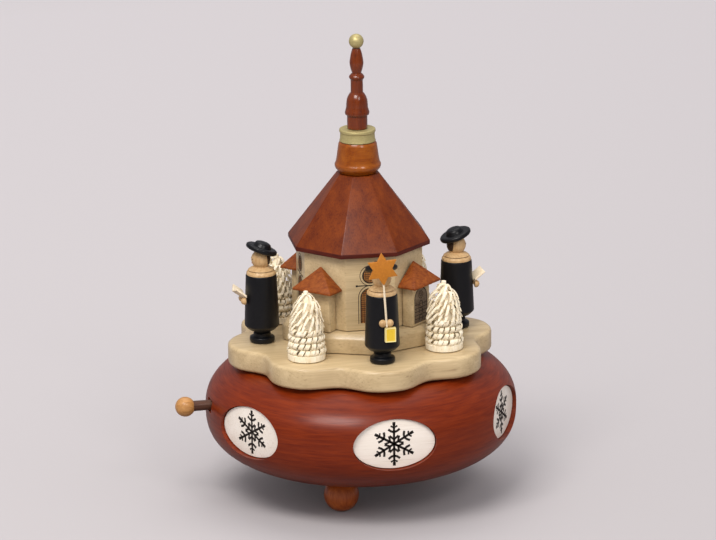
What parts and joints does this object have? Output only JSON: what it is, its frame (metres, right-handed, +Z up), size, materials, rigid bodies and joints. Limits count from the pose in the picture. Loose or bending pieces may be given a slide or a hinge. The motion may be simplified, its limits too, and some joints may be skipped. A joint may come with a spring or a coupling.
{
  "type": "wooden music box with a turning winter scene",
  "caption": "Turned wooden music box: a bowl on ball feet with oval inlays and a side lever carries a turning scalloped plate with a church, carol singers and shaved trees.",
  "frame": {"origin": "on the surface it stands on, in the middle of the box round the whole object, the side lever included; the turning axis stands 7 mm towards +X of it", "axes": "+Z up along the turning axis; -Y is the front, where the star bearer stands at rest; the lever points to -X"},
  "size_m": [0.144, 0.126, 0.1966],
  "materials": {
    "stained_mahogany": "red-brown stained turned wood, glossy clear lacquer",
    "cover_plywood": "plain pale plywood",
    "foot_wood": "orange-brown stained turned wood, glossy",
    "white_inlay_wood": "near-white veneer with a burnt snowflake",
    "cast_zinc": "grey die-cast zinc",
    "steel": "plain steel",
    "dark_rod_wood": "dark brown stained dowel",
    "knob_wood": "natural orange-tan turned bead",
    "brass": "plain brass",
    "pale_maple": "natural pale maple, matt clear coat, burnt doors and windows",
    "roof_wood": "brown stained wood, satin",
    "red_stained_wood": "red-brown stained wood with visible grain",
    "gold_paint": "matt gold painted wood",
    "black_lacquer": "black lacquered turned wood, satin",
    "natural_wood": "natural turned wood, small painted eyes and hair",
    "booklet_wood": "pale wood",
    "orange_paint": "orange painted wood",
    "yellow_paint": "yellow painted wood",
    "shaved_lime_wood": "raw pale wood with curled shavings"
  },
  "bodies": {
    "base": {"body_bowl": "stained_mahogany", "top_cover": "cover_plywood", "foot_front": "foot_wood", "foot_right": "foot_wood", "foot_back": "foot_wood", "oval_inlay_1": "white_inlay_wood", "oval_inlay_2": "white_inlay_wood", "oval_inlay_3": "white_inlay_wood", "oval_inlay_4": "white_inlay_wood", "oval_inlay_5": "white_inlay_wood", "oval_inlay_6": "white_inlay_wood", "movement_bedplate": "cast_zinc", "tone_comb": "steel", "governor_frame": "cast_zinc", "lever_pin": "steel"},
    "lever": {"lever_rod": "dark_rod_wood", "lever_knob": "knob_wood"},
    "cylinder": {"pinned_cylinder": "brass"},
    "governor": {"governor_wheel": "brass"},
    "fan": {"worm_and_fan": "steel"},
    "key": {"winding_key": "steel"},
    "turntable": {"tower_spire": "stained_mahogany", "mainspring": "steel", "spring_barrel": "brass", "turntable_plate": "pale_maple", "church_plinth": "pale_maple", "church_nave": "pale_maple", "annex_1": "pale_maple", "annex_2": "pale_maple", "annex_3": "pale_maple", "annex_4": "pale_maple", "church_roof": "roof_wood", "tower_collar": "roof_wood", "annex_roof_1": "red_stained_wood", "annex_roof_2": "red_stained_wood", "annex_roof_3": "red_stained_wood", "annex_roof_4": "red_stained_wood", "tower_band": "gold_paint", "tower_ball": "gold_paint", "singer_right_coat": "black_lacquer", "singer_right_hat": "black_lacquer", "singer_right_head": "natural_wood", "singer_right_book": "booklet_wood", "singer_back_coat": "black_lacquer", "singer_back_hat": "black_lacquer", "singer_back_head": "natural_wood", "singer_back_book": "booklet_wood", "singer_left_coat": "black_lacquer", "singer_left_hat": "black_lacquer", "singer_left_head": "natural_wood", "singer_left_book": "booklet_wood", "star_bearer_coat": "black_lacquer", "star_bearer_hat": "black_lacquer", "star_bearer_head": "natural_wood", "star_pole": "orange_paint", "lantern": "yellow_paint", "tree_1": "shaved_lime_wood", "tree_2": "shaved_lime_wood", "tree_3": "shaved_lime_wood", "tree_4": "shaved_lime_wood"}
  },
  "joints": [
    {"name": "turntable_spin", "type": "hinge", "parent": "base", "child": "turntable", "pos_m": [0.00698, 0, 0.0608], "axis": [0, 0, 1], "continuous": true},
    {"name": "cylinder_spin", "type": "hinge", "parent": "base", "child": "cylinder", "pos_m": [-0.00842, 0.00621, 0.04305], "axis": [-0.9274, 0.3741, 0], "continuous": true},
    {"name": "governor_spin", "type": "hinge", "parent": "base", "child": "governor", "pos_m": [-0.02811, 0.00606, 0.03585], "axis": [-0.9274, 0.3741, 0], "continuous": true},
    {"name": "fan_spin", "type": "hinge", "parent": "base", "child": "fan", "pos_m": [-0.03314, 0, 0.04225], "axis": [0, 0, 1], "continuous": true},
    {"name": "key_wind", "type": "hinge", "parent": "base", "child": "key", "pos_m": [0.00698, 0, 0.0135], "axis": [0, 0, 1], "continuous": true},
    {"name": "lever_swing", "type": "hinge", "parent": "base", "child": "lever", "pos_m": [-0.05353, 0, 0.0425], "axis": [0, 0, 1], "range_deg": [-15, 15]}
  ],
  "couplings": [
    {"joint": "cylinder_spin", "follows": "turntable_spin", "ratio": 3},
    {"joint": "governor_spin", "follows": "turntable_spin", "ratio": -9},
    {"joint": "fan_spin", "follows": "turntable_spin", "ratio": 144}
  ]
}
